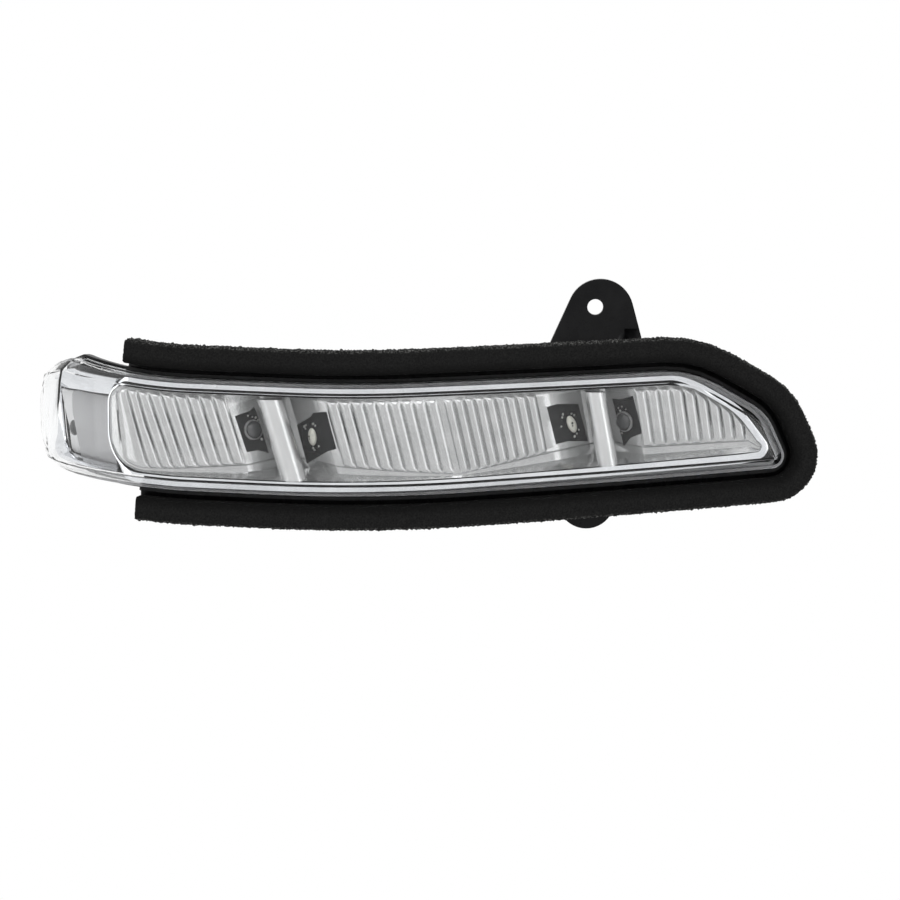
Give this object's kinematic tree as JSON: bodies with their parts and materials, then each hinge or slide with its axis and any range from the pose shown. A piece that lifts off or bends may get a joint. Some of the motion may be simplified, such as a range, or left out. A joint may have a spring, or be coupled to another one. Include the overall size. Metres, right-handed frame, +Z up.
{
  "type": "side repeater lamp",
  "caption": "Curved clear side repeater lamp for a car door mirror, with a fluted bright reflector, a black housing with screw ear and a foam seal.",
  "frame": {"origin": "centre of the upper ear's screw hole, on the ear's back face", "axes": "-Y is the lamp's front, +X runs along the lamp to its pointed end, +Z up"},
  "size_m": [0.2347, 0.049, 0.0744],
  "materials": {
    "housing": "moulded black, semi-gloss",
    "lens": "clear polycarbonate, polished",
    "foam": "open-cell black foam, matte",
    "sealant": "cured black sealant",
    "bright": "vacuum-metallised plastic",
    "panel": "satin silver-grey moulding",
    "board": "black solder mask",
    "board_green": "green solder mask",
    "led": "moulded lamp body, pale",
    "component": "moulded black package",
    "can": "drawn can",
    "screw": "zinc-plated steel",
    "pin": "tinned contacts"
  },
  "bodies": {
    "root": {"housing": "housing", "outer_lens": "lens", "foam_seal": "foam", "sealant_bead": "sealant", "main_bezel": "bright", "reflector": "bright", "end_bezel": "bright", "end_panel": "panel", "pillar_left": "bright", "pillar_right": "bright", "led_board_1": "board", "led_board_2": "board", "led_board_3": "board", "led_board_4": "board", "led_1": "led", "led_2": "led", "led_3": "led", "led_4": "led", "end_board": "board", "end_led": "led", "main_board": "board_green", "resistors": "component", "driver_chip": "component", "capacitor": "can", "diode": "component", "board_screws": "screw", "contact_pins": "pin"}
  },
  "joints": []
}
